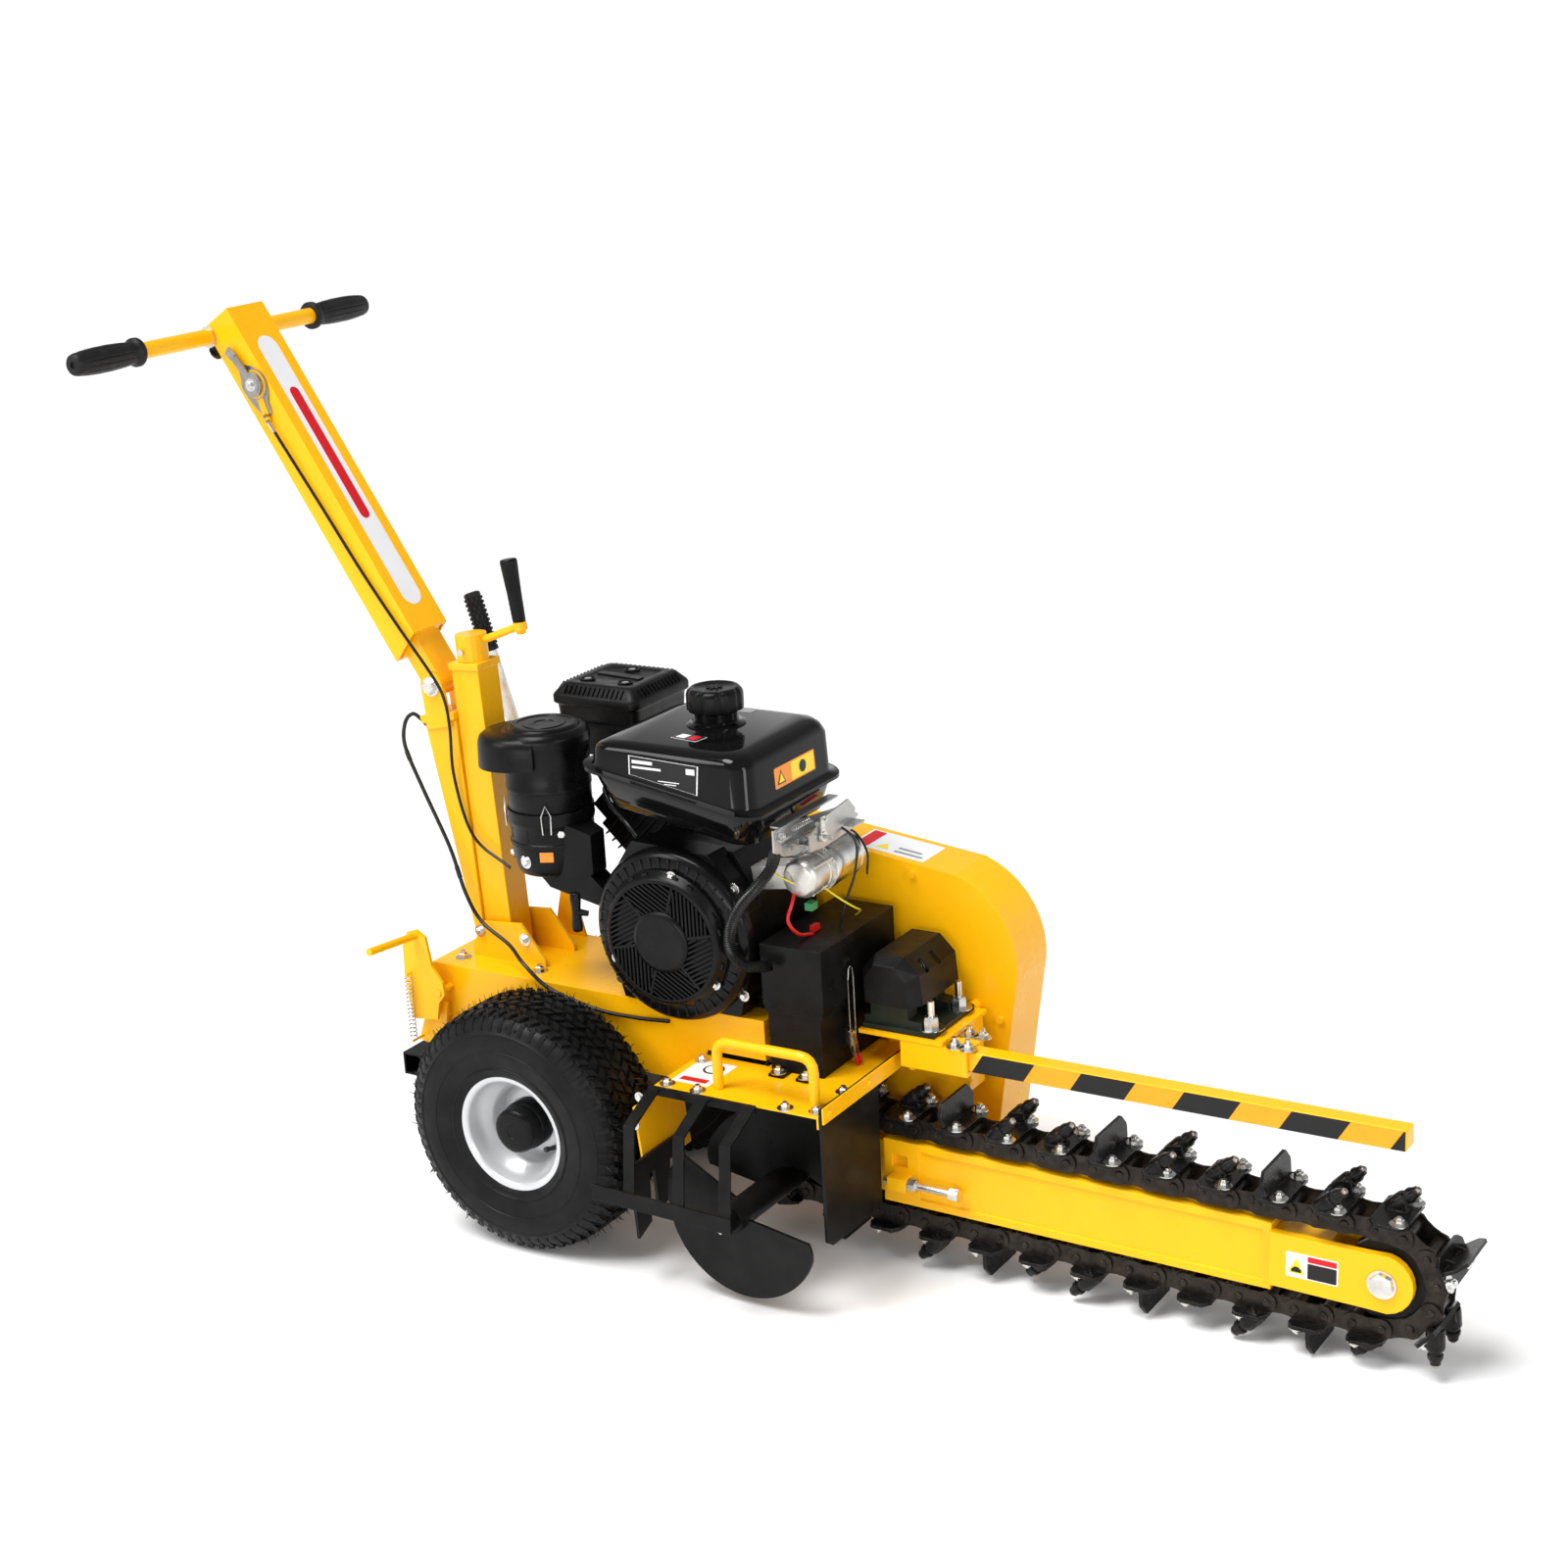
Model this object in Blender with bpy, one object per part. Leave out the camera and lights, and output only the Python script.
"""Walk-behind chain trencher. Metres, +X forward along the boom, +Z up, ground at z = 0."""

import math

import bmesh
import bpy
from mathutils import Matrix, Vector

# The axle is drawn at x = 0; SHIFT puts the middle of the whole machine on the origin.
SHIFT = Vector((-0.363744, 0.0, 0.0))
GAP = 0.0003

# Wheels and their carriage
TYRE_R = 0.190
TYRE_HALF = 0.074
TRACK_HALF = 0.185
RIM_R = 0.089
AXLE_Z = TYRE_R
AXLE_R = 0.0125
CARRIAGE_PIVOT = (0.170, 0.300)

# Deck
DECK_TOP = 0.366
DECK_REAR, DECK_FRONT = -0.250, 0.350
DECK_NEAR, DECK_FAR = -0.090, 0.104
FRONT_FAR = 0.1157
PLATE = 0.005

# Handle column
HINGE = (-0.2465, 0.790)
COLUMN_TOP = (-0.592, 1.336)
COLUMN_W, COLUMN_D = 0.080, 0.058
BAR_X, BAR_Z, BAR_HALF, BAR_R = -0.610, 1.307, 0.322, 0.0125

# Jack post
POST_LOW, POST_HIGH = (-0.1640, 0.3682), (-0.1875, 0.826)
POST_W = 0.050

# Boom and chain
HEAD = (0.390, 0.143)
NOSE = (1.245, 0.127)
CHAIN_R = 0.0705
PITCHES = 54
CHAIN_HALF = 0.029
LINK_H = 0.030
TOOTH_H = 0.056
BOOM_HALF = 0.030

# Auger and its cover
AUGER_R = 0.117
BLADE_R = 0.130
LATCH_Y = -0.0345
COVER_Z = 0.298
COVER_NEAR = -0.215

# Engine and drive
CRANK = (0.215, 0.483)
JACKSHAFT = (0.510, 0.415)
GUARD_NEAR, GUARD_FAR = 0.130, 0.225

YELLOW = (0.90, 0.55, 0.01)
BLACK = (0.02, 0.02, 0.02)
RUBBER = (0.03, 0.03, 0.03)
STEEL = (0.60, 0.60, 0.58)


# ---------------------------------------------------------------- scene and helpers

def clear_scene():
    for item in list(bpy.data.objects):
        bpy.data.objects.remove(item, do_unlink=True)
    for group in list(bpy.data.collections):
        bpy.data.collections.remove(group)


def new_collection(name):
    group = bpy.data.collections.new(name)
    bpy.context.scene.collection.children.link(group)
    return group


def material(name, colour, roughness, metallic=0.0):
    made = bpy.data.materials.new(name)
    made.use_nodes = True
    shader = made.node_tree.nodes["Principled BSDF"]
    shader.inputs["Base Color"].default_value = (*colour, 1.0)
    shader.inputs["Roughness"].default_value = roughness
    shader.inputs["Metallic"].default_value = metallic
    return made


def ring_faces(bm, rings, closed_along=False):
    """Skins a list of equal vertex rings; caps the ends unless the rings close on themselves."""
    count = len(rings)
    for i in range(count if closed_along else count - 1):
        a, b = rings[i], rings[(i + 1) % count]
        for j in range(len(a)):
            k = (j + 1) % len(a)
            corners = [a[j], a[k], b[k], b[j]]
            corners = [v for n, v in enumerate(corners) if v not in corners[:n]]
            if len(corners) > 2:
                bm.faces.new(corners)
    if not closed_along:
        for ring in (rings[0], rings[-1]):
            if len(set(ring)) > 2:
                bm.faces.new(ring)


def loft(bm, levels, closed_along=False):
    """One closed skin through rings of (x, y, z) points."""
    rings = [[bm.verts.new(Vector(p) + SHIFT) for p in level] for level in levels]
    ring_faces(bm, rings, closed_along)


def prism(bm, outline, axis, low, high):
    """A 2-D outline extruded along one axis: 'x' takes (y, z), 'y' takes (x, z), 'z' takes (x, y)."""
    def place(point, along):
        if axis == "x":
            return (along, point[0], point[1])
        if axis == "y":
            return (point[0], along, point[1])
        return (point[0], point[1], along)
    loft(bm, [[place(p, low) for p in outline], [place(p, high) for p in outline]])


def box(bm, x0, x1, y0, y1, z0, z1):
    prism(bm, [(x0, y0), (x1, y0), (x1, y1), (x0, y1)], "z", z0, z1)


def frame_of(direction):
    """Two unit vectors square to a direction."""
    direction = Vector(direction).normalized()
    side = Vector((0, 1, 0)) if abs(direction.y) < 0.9 else Vector((1, 0, 0))
    u = side.cross(direction).normalized()
    return u, direction.cross(u)


def circle_points(centre, direction, radius, sides, turn=0.0):
    u, v = frame_of(direction)
    return [
        Vector(centre) + (u * math.cos(a) + v * math.sin(a)) * radius
        for a in (turn + 2 * math.pi * i / sides for i in range(sides))
    ]


def rod(bm, start, end, radius, sides=16, end_radius=None, turn=0.0):
    """A round bar, or a cone when end_radius differs."""
    way = Vector(end) - Vector(start)
    far = radius if end_radius is None else end_radius
    loft(bm, [
        circle_points(start, way, radius, sides, turn),
        circle_points(end, way, far, sides, turn),
    ])


def bar(bm, start, end, width, depth, up=(0, 1, 0)):
    """A rectangular bar: width is measured along up, depth square to it."""
    way = (Vector(end) - Vector(start)).normalized()
    u = Vector(up).normalized()
    v = way.cross(u).normalized()
    corners = [(-1, -1), (1, -1), (1, 1), (-1, 1)]
    loft(bm, [
        [Vector(c) + u * a * width / 2 + v * b * depth / 2 for a, b in corners]
        for c in (start, end)
    ])


def turned(bm, profile, centre, direction, sides=32):
    """A closed (radius, along) outline turned about an axis; points on the axis become poles."""
    way = Vector(direction).normalized()
    rings = []
    for radius, along in profile:
        middle = Vector(centre) + way * along
        if radius < 1e-6:
            pole = bm.verts.new(middle + SHIFT)
            rings.append([pole] * sides)
        else:
            points = circle_points(middle, way, radius, sides)
            rings.append([bm.verts.new(p + SHIFT) for p in points])
    solid = profile[0][0] < 1e-6 and profile[-1][0] < 1e-6
    ring_faces(bm, rings, closed_along=not solid)


def swept(bm, route, radius, sides=10):
    """A round tube along a list of points, its rings turned with the route."""
    points = [Vector(p) for p in route]
    ways = []
    for i in range(len(points)):
        before = points[i] - points[max(i - 1, 0)]
        after = points[min(i + 1, len(points) - 1)] - points[i]
        ways.append((before.normalized() + after.normalized()).normalized())
    u, _ = frame_of(ways[0])
    levels = []
    for i, (point, way) in enumerate(zip(points, ways)):
        u = (u - way * u.dot(way)).normalized()
        v = way.cross(u)
        wide = radius
        if 0 < i < len(points) - 1:
            wide = radius / max(0.6, (points[i] - points[i - 1]).normalized().dot(way))
        levels.append([
            point + u * math.cos(a) * radius + v * math.sin(a) * wide
            for a in (2 * math.pi * k / sides for k in range(sides))
        ])
    loft(bm, levels)


def rounded(route, bend, steps=4):
    """A polyline with each inner corner replaced by a short arc."""
    points = [Vector(p) for p in route]
    out = [points[0]]
    for before, corner, after in zip(points, points[1:], points[2:]):
        a = corner + (before - corner).normalized() * bend
        b = corner + (after - corner).normalized() * bend
        for i in range(steps + 1):
            t = i / steps
            out.append(a.lerp(corner, t).lerp(corner.lerp(b, t), t))
    out.append(points[-1])
    return out


def helix(foot, height, radius, turns, per_turn=10):
    steps = turns * per_turn
    return [
        Vector(foot) + Vector((
            radius * math.cos(2 * math.pi * i / per_turn),
            radius * math.sin(2 * math.pi * i / per_turn),
            height * i / steps,
        ))
        for i in range(steps + 1)
    ]


def arc(centre, radius, start, end, steps):
    return [
        (centre[0] + radius * math.cos(math.radians(start + (end - start) * i / steps)),
         centre[1] + radius * math.sin(math.radians(start + (end - start) * i / steps)))
        for i in range(steps + 1)
    ]


def bored(radius, sides=16):
    """Corner radius of a faceted bore that a round bar of this radius turns in freely."""
    return (radius + 0.00008) / math.cos(math.pi / sides)


def mesh_object(name, build, group):
    bm = bmesh.new()
    build(bm)
    bmesh.ops.recalc_face_normals(bm, faces=bm.faces)
    if bm.calc_volume(signed=True) < 0:
        bmesh.ops.reverse_faces(bm, faces=bm.faces)
    mesh = bpy.data.meshes.new(name)
    bm.to_mesh(mesh)
    bm.free()
    made = bpy.data.objects.new(name, mesh)
    group.objects.link(made)
    return made


def helper(name, build):
    made = mesh_object(name, build, CUTTERS)
    made.hide_render = True
    made.display_type = "WIRE"
    return made


def combine(target, operation, build):
    tool = helper(f"{target.name}_{operation.lower()}_{len(target.modifiers)}", build)
    step = target.modifiers.new(tool.name, "BOOLEAN")
    step.operation = operation
    step.solver = "EXACT"
    step.use_self = True
    step.object = tool


def node(name, paint, build, add=(), cut=(), pivot=None):
    """One piece: a closed shape, shapes fused to it, shapes cut from it, and its turning point."""
    made = mesh_object(name, build, MACHINE)
    made.data.materials.append(paint)
    for extra in add:
        combine(made, "UNION", extra)
    for hole in cut:
        combine(made, "DIFFERENCE", hole)
    if pivot is not None:
        place = Vector(pivot) + SHIFT
        made.data.transform(Matrix.Translation(-place))
        made.location = place
    made.data.shade_smooth()
    made.data.set_sharp_from_angle(angle=math.radians(35))
    return made


clear_scene()
MACHINE = new_collection("walk_behind_trencher")
CUTTERS = new_collection("cutters")
CUTTERS.hide_render = True


def along(start, end, distance):
    """The (x, z) point this far from start towards end."""
    way = (Vector(end) - Vector(start)).normalized()
    return Vector(start) + way * distance


# ---------------------------------------------------------------- frame

def deck_frame(paint):
    low = 0.250

    def top(bm):
        box(bm, DECK_REAR, DECK_FRONT, DECK_NEAR, DECK_FAR, DECK_TOP - PLATE, DECK_TOP)

    def sides(bm):
        outline = [(DECK_REAR, DECK_TOP - 0.002), (DECK_REAR, low + 0.02), (-0.20, low),
                   (0.232, low), (0.250, 0.305), (DECK_FRONT, 0.305), (DECK_FRONT, DECK_TOP - 0.002)]
        prism(bm, outline, "y", DECK_NEAR, DECK_NEAR + 0.004)
        prism(bm, outline, "y", DECK_FAR - 0.004, DECK_FAR)

    def walls(bm):
        box(bm, DECK_REAR, DECK_REAR + 0.004, DECK_NEAR + 0.002, DECK_FAR - 0.002, 0.300, DECK_TOP - 0.002)
        box(bm, DECK_FRONT - 0.004, DECK_FRONT, DECK_NEAR + 0.002, DECK_FAR - 0.002, 0.305, DECK_TOP - 0.002)

    def gussets(bm):
        outline = [(-0.206, DECK_TOP - 0.002), (-0.206, 0.385), (-0.184, 0.424), (-0.112, 0.430),
                   (-0.070, 0.376), (-0.070, DECK_TOP - 0.002)]
        prism(bm, outline, "y", -0.0400, -0.0345)
        prism(bm, outline, "y", 0.0345, 0.0400)

    def pivot_ears(bm):
        x, z = CARRIAGE_PIVOT
        outline = [(x - 0.030, DECK_TOP - 0.002), (x - 0.022, z - 0.018), (x, z - 0.024),
                   (x + 0.022, z - 0.018), (x + 0.030, DECK_TOP - 0.002)]
        prism(bm, outline, "y", -0.0580, -0.0520)
        prism(bm, outline, "y", 0.0520, 0.0580)

    def lever_post(bm):
        prism(bm, [(-0.150, DECK_TOP - 0.002), (-0.132, 0.440), (-0.108, 0.440), (-0.090, DECK_TOP - 0.002)],
              "y", 0.0935, 0.0985)
        rod(bm, (-0.121, 0.096, 0.424), (-0.121, 0.1155, 0.424), 0.0070, 16)

    def latch_pin(bm):
        rod(bm, (-0.2180, DECK_NEAR + 0.001, 0.3300), (-0.2180, -0.1225, 0.3300), 0.0060, 16)

    def spring_tab(bm):
        prism(bm, [(-0.236, 0.310), (-0.262, 0.278), (-0.276, 0.240), (-0.262, 0.236), (-0.226, 0.240),
                   (-0.214, 0.310)], "y", -0.1060, -0.1010)
        box(bm, -0.236, -0.220, -0.1030, DECK_NEAR + 0.002, 0.282, 0.298)
        rod(bm, (-0.2680, -0.1030, 0.2470), (-0.2680, -0.1330, 0.2470), 0.0022, 8)

    def pivot_holes(bm):
        x, z = CARRIAGE_PIVOT
        rod(bm, (x, -0.065, z), (x, 0.065, z), bored(0.0100), 16)

    node("deck_frame", paint, top, add=(sides, walls, gussets, pivot_ears, lever_post, latch_pin, spring_tab),
         cut=(pivot_holes,))


def front_mount(paint):
    """The plates ahead of the deck that carry the boom, the drive shaft and the bearings."""
    def carrier(bm):
        outline = [(0.3150, 0.2940), (0.3150, 0.1200), (0.3500, 0.0900), (0.4400, 0.0900), (0.5300, 0.1100),
                   (0.6000, 0.2600), (0.6000, 0.3460), (0.4660, 0.3460), (0.4660, 0.2940)]
        prism(bm, outline, "y", 0.0620, 0.0690)

    def shelf(bm):
        prism(bm, [(0.4660, -0.0225), (0.600, -0.0225), (0.600, FRONT_FAR), (0.3504, FRONT_FAR), (0.3504, 0.1100), (0.4660, 0.1100)],
              "z", 0.3430, 0.3490)

    def webs(bm):
        box(bm, 0.5900, 0.5960, 0.0650, 0.1100, 0.2400, 0.3450)
        box(bm, 0.3503, 0.3563, 0.0650, 0.1140, 0.2600, 0.3450)

    def bearing(bm):
        rod(bm, (HEAD[0], 0.0650, HEAD[1]), (HEAD[0], 0.0950, HEAD[1]), 0.0340, 24)

    def shaft_hole(bm):
        rod(bm, (HEAD[0], 0.0500, HEAD[1]), (HEAD[0], 0.1100, HEAD[1]), bored(0.0150), 16)

    node("front_mount", paint, carrier, add=(shelf, webs, bearing), cut=(shaft_hole,))


def jack_post(paint):
    low, high = Vector(POST_LOW), Vector(POST_HIGH)
    way = (high - low).normalized()

    def tube(bm):
        a, b = low, high
        bar(bm, (a.x, 0, a.y), (b.x, 0, b.y), POST_W, POST_W)

    def collar(bm):
        a, b = high - way * 0.008, high + way * 0.003
        bar(bm, (a.x, 0, a.y), (b.x, 0, b.y), POST_W + 0.006, POST_W + 0.006)

    def hollow(bm):
        a, b = low - way * 0.02, high - way * 0.012
        bar(bm, (a.x, 0, a.y), (b.x, 0, b.y), POST_W - 0.008, POST_W - 0.008)

    def screw_hole(bm):
        a, b = high - way * 0.03, high + way * 0.02
        rod(bm, (a.x, 0, a.y), (b.x, 0, b.y), bored(0.0100), 16)

    node("jack_post", paint, tube, add=(collar,), cut=(hollow, screw_hole))


def mast(paint):
    low, high = Vector((-0.1990, 0.5200)), Vector((-0.2407, 0.7450))
    way = (high - low).normalized()
    side = Vector((way.y, -way.x))

    def tube(bm):
        a = low - way * 0.16
        bar(bm, (a.x, 0, a.y), (high.x, 0, high.y), 0.060, 0.060)

    def collar(bm):
        a, b = high - way * 0.010, high + way * 0.002
        bar(bm, (a.x, 0, a.y), (b.x, 0, b.y), 0.068, 0.068)

    def ears(bm):
        base = high - way * 0.02
        a, b = base - side * 0.024, base + side * 0.024
        outline = [tuple(a), tuple(b)] + arc(HINGE, 0.021, 0, 180, 10)
        prism(bm, outline, "y", -0.0340, -0.0280)
        prism(bm, outline, "y", 0.0280, 0.0340)

    def bolt(bm):
        rod(bm, (HINGE[0], -0.0360, HINGE[1]), (HINGE[0], 0.0360, HINGE[1]), 0.0080, 16)

    def behind_post(bm):
        a, b = Vector(POST_LOW), Vector(POST_HIGH)
        up = (b - a).normalized()
        a, b = a - up * 0.1, b + up * 0.1
        back = Vector((-up.y, up.x)) * (POST_W / 2 + GAP)
        prism(bm, [tuple(a + back), tuple(b + back), tuple(b + back + Vector((0.3, 0))),
                   tuple(a + back + Vector((0.3, 0)))], "y", -0.1, 0.1)

    def under_deck(bm):
        box(bm, -0.35, 0.0, -0.1, 0.1, 0.20, DECK_TOP + GAP)

    node("mast", paint, tube, add=(collar, ears, bolt), cut=(behind_post, under_deck))


# ---------------------------------------------------------------- auger side

def auger_cover(paint):
    left, right = 0.240, 0.510
    top, thick = COVER_Z, 0.003

    def plate(bm):
        prism(bm, [(left, COVER_NEAR), (right, COVER_NEAR), (right, 0.0600), (0.3545, 0.0600),
                   (0.3545, DECK_NEAR - GAP), (left, DECK_NEAR - GAP)], "z", top - thick, top)

    def side(bm):
        outline = [(left + 0.004, top - 0.0005), (0.2050, 0.2600), (0.1990, 0.2560), (0.2030, 0.2180),
                   (0.2100, 0.1560), (0.2140, 0.1560), (0.2070, 0.2180), (0.2035, 0.2540), (0.2450, 0.2955)]
        prism(bm, outline, "y", COVER_NEAR + 0.0005, -0.0950)

    def front_lip(bm):
        box(bm, right - 0.003, right, COVER_NEAR, 0.0600, top - 0.018, top - 0.001)

    node("auger_cover", paint, plate, add=(side, front_lip))


def cover_handle(paint):
    y, high = -0.1850, 0.3700
    foot = COVER_Z + GAP
    route = rounded([(0.3300, y, foot), (0.3300, y, high), (0.4880, y, high), (0.4880, y, foot)], 0.022)

    def tube(bm):
        swept(bm, route, 0.0075, 12)

    node("cover_handle", paint, tube)


def auger_grille(paint):
    def strip(bm):
        bar(bm, (0.1800, -0.2990, 0.1580), (0.4120, -0.2990, 0.1500), 0.004, 0.024)

    def bars(bm):
        for x in (0.2420, 0.3250, 0.4010):
            prism(bm, [(COVER_NEAR - 0.002, 0.2970), (-0.2860, 0.2640), (-0.3000, 0.1480), (-0.2970, 0.1475),
                       (-0.2825, 0.2620), (COVER_NEAR - 0.002, 0.2925)], "x", x - 0.009, x + 0.009)

    def hanger(bm):
        box(bm, 0.2330, 0.4100, COVER_NEAR - 0.005, COVER_NEAR - GAP, 0.2850, 0.2980)

    node("auger_grille", paint, strip, add=(bars, hanger))


def rubber_flap(paint):
    def sheet(bm):
        prism(bm, [(COVER_NEAR, 0.310), (COVER_NEAR, 0.110), (-0.2000, 0.100), (-0.0620, 0.100),
                   (-0.0580, 0.282), (0.0600, 0.286), (0.0600, 0.310)], "x", 0.5103, 0.5153)

    node("rubber_flap", paint, sheet)


def flap_strip(paint):
    def strip(bm):
        box(bm, 0.5156, 0.5186, COVER_NEAR, 0.0600, 0.288, 0.312)

    def bolts(bm):
        for y in (-0.2020, -0.0900, 0.0200):
            rod(bm, (0.5170, y, 0.300), (0.5230, y, 0.300), 0.0060, 6)

    node("flap_strip", paint, strip, add=(bolts,))


def side_flaps(paint):
    """Two rubber tongues that hang beside the auger from one clamped edge."""
    def head(bm):
        box(bm, 0.2145, 0.2195, -0.2550, -0.1350, 0.1560, 0.1850)

    def tongues(bm):
        prism(bm, [(-0.2550, 0.160), (-0.2480, 0.068), (-0.2150, 0.082), (-0.2120, 0.160)], "x", 0.2145, 0.2195)
        prism(bm, [(-0.2000, 0.160), (-0.1940, 0.086), (-0.1620, 0.100), (-0.1600, 0.160)], "x", 0.2145, 0.2195)

    node("side_flaps", paint, head, add=(tongues,))


# ---------------------------------------------------------------- battery, bearings, guard, safety bar

def battery_box(paint):
    """Tray with the battery standing in it and a ledge that the lid sits on."""
    def tray(bm):
        box(bm, 0.3640, 0.4500, -0.0980, 0.1045, COVER_Z + GAP, 0.4200)

    def battery(bm):
        box(bm, 0.3680, 0.4460, -0.0900, 0.0960, 0.4000, 0.4600)
        for y in (-0.0700, 0.0760):
            rod(bm, (0.3850, y, 0.4590), (0.3850, y, 0.4700), 0.0060, 10)

    def ledge(bm):
        box(bm, 0.3600, 0.4550, -0.1010, 0.1075, 0.3880, 0.3977)

    def feet(bm):
        for x in (0.3850, 0.4300):
            box(bm, x - 0.012, x + 0.012, -0.1220, -0.0960, COVER_Z + GAP, COVER_Z + 0.0045)
            rod(bm, (x, -0.1130, COVER_Z + 0.004), (x, -0.1130, COVER_Z + 0.010), 0.0060, 6)

    def latch_base(bm):
        box(bm, 0.4490, 0.4590, LATCH_Y - 0.011, LATCH_Y + 0.011, 0.3300, 0.3560)

    def latch_slot(bm):
        box(bm, 0.4530, 0.4600, LATCH_Y - 0.0062, LATCH_Y + 0.0062, 0.3200, 0.3600)

    node("battery_box", paint, tray, add=(battery, ledge, feet, latch_base), cut=(latch_slot,))


def battery_lid(paint):
    def shell(bm):
        box(bm, 0.3580, 0.4570, -0.1020, 0.1085, 0.3980, 0.4900)

    def catch(bm):
        box(bm, 0.4560, 0.4610, LATCH_Y - 0.006, LATCH_Y + 0.006, 0.4480, 0.4600)

    def room(bm):
        box(bm, 0.3602, 0.4548, -0.0998, 0.1063, 0.3800, 0.4878)

    node("battery_lid", paint, shell, add=(catch,), cut=(room,))


LATCH_PIVOT = (0.4605, 0.3450)
BAIL_PIVOT = (0.4632, 0.3300)


def latch_toggle(paint):
    """Forked lever of the toggle latch on the tray's front."""
    def lever(bm):
        prism(bm, [(0.4565, 0.3430), (0.4570, 0.3480), (0.4600, 0.3510), (0.4640, 0.3490), (0.4680, 0.3300),
                   (0.4720, 0.3060), (0.4690, 0.3055), (0.4610, 0.3240)], "y", LATCH_Y - 0.0055, LATCH_Y + 0.0055)

    def bore(bm):
        x, z = BAIL_PIVOT
        rod(bm, (x + 0.0006, LATCH_Y - 0.02, z), (x + 0.0006, LATCH_Y + 0.02, z), bored(0.0011, 8), 8)

    node("latch_toggle", paint, lever, cut=(bore,), pivot=(LATCH_PIVOT[0], LATCH_Y, LATCH_PIVOT[1]))


def latch_bail(paint):
    """Wire loop that the toggle pulls down over the lid's catch."""
    x, z = BAIL_PIVOT[0] + 0.0006, BAIL_PIVOT[1]
    wide = 0.0073

    def loop(bm):
        swept(bm, [(x, LATCH_Y - wide, z - 0.0005), (x, LATCH_Y - wide, 0.4300), (x, LATCH_Y - 0.0045, 0.4450), (x, LATCH_Y, 0.4480),
                   (x, LATCH_Y + 0.0045, 0.4450), (x, LATCH_Y + wide, 0.4300), (x, LATCH_Y + wide, z - 0.0005)], 0.0011, 6)

    def cross(bm):
        rod(bm, (x, LATCH_Y - wide - 0.0005, z), (x, LATCH_Y + wide + 0.0005, z), 0.0011, 8)

    node("latch_bail", paint, loop, add=(cross,), pivot=(x, LATCH_Y, z))


def bearing_blocks(paint):
    """Two pillow blocks on one base plate, with their studs and nuts."""
    x, z = JACKSHAFT
    base = 0.3490 + GAP

    def plate(bm):
        box(bm, 0.4690, 0.5840, -0.0160, 0.1080, base, base + 0.008)

    def blocks(bm):
        for y in (0.0040, 0.0880):
            outline = [(x + 0.052, base + 0.006), (x + 0.052, base + 0.018), (x + 0.030, base + 0.020)]
            outline += arc((x, z), 0.030, -10, 190, 10)
            outline += [(x - 0.030, base + 0.020), (x - 0.040, base + 0.018), (x - 0.040, base + 0.006)]
            prism(bm, outline, "y", y - 0.014, y + 0.014)

    def studs(bm):
        for y in (0.0040, 0.0880):
            rod(bm, (x + 0.060, y, base + 0.004), (x + 0.060, y, base + 0.048), 0.0050, 8)
            rod(bm, (x + 0.060, y, base + 0.007), (x + 0.060, y, base + 0.024), 0.0095, 6)

    def shaft_holes(bm):
        rod(bm, (x, -0.0200, z), (x, 0.1100, z), bored(0.0125), 16)

    node("bearing_blocks", paint, plate, add=(blocks, studs), cut=(shaft_holes,))


def jackshaft(paint):
    x, z = JACKSHAFT

    def shaft(bm):
        rod(bm, (x, -0.0140, z), (x, 0.1180, z), 0.0125, 16)

    def coupling(bm):
        rod(bm, (x, 0.0250, z), (x, 0.0670, z), 0.0300, 20)

    def groove(bm):
        turned(bm, [(0.0270, 0.0430), (0.0340, 0.0400), (0.0340, 0.0520), (0.0270, 0.0490)], (x, 0, z), (0, 1, 0), 20)

    node("jackshaft", paint, shaft, add=(coupling,), cut=(groove,), pivot=(x, 0.0, z))


def bearing_cover(paint):
    x, z = JACKSHAFT
    foot = 0.3900

    def outline(grow):
        return [(x - 0.046 - grow, foot), (x - 0.046 - grow, z + 0.018), (x - 0.024, z + 0.044 + grow),
                (x + 0.022, z + 0.044 + grow), (x + 0.046 + grow, z + 0.020), (x + 0.050 + grow, foot)]

    def shell(bm):
        loft(bm, [[(a, -0.0200, b) for a, b in [(x + (a - x) * 0.72, foot + (b - foot) * 0.86) for a, b in outline(0)]],
                  [(a, 0.0000, b) for a, b in outline(0)],
                  [(a, 0.1090, b) for a, b in outline(0)]])

    def room(bm):
        loft(bm, [[(a, -0.0170, b - (0.01 if b < foot + 0.001 else 0)) for a, b in
                   [(x + (a - x) * 0.68, foot + (b - foot) * 0.82) for a, b in outline(-0.003)]],
                  [(a, 0.0010, b - (0.01 if b < foot + 0.001 else 0)) for a, b in outline(-0.003)],
                  [(a, 0.1300, b - (0.01 if b < foot + 0.001 else 0)) for a, b in outline(-0.003)]])

    def slots(bm):
        for y in (0.0250, 0.0600):
            bar(bm, (x + 0.020, y, z + 0.000), (x + 0.060, y, z + 0.055), 0.009, 0.022)

    node("bearing_cover", paint, shell, cut=(room, slots))


def guard_outline(inset):
    front = (0.5050, 0.4100)
    rear = CRANK
    points = arc(front, 0.139 - inset, 72, -14, 10)
    points += [(0.6050 - inset, 0.1500), (0.5700 - inset, 0.0980 + inset), (0.3300 + inset, 0.0980 + inset)]
    points += [(0.2950 + inset, 0.1400), (0.2950 + inset, 0.3600)]
    points += arc(rear, 0.104 - inset, 260, 100, 10)
    return points


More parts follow.
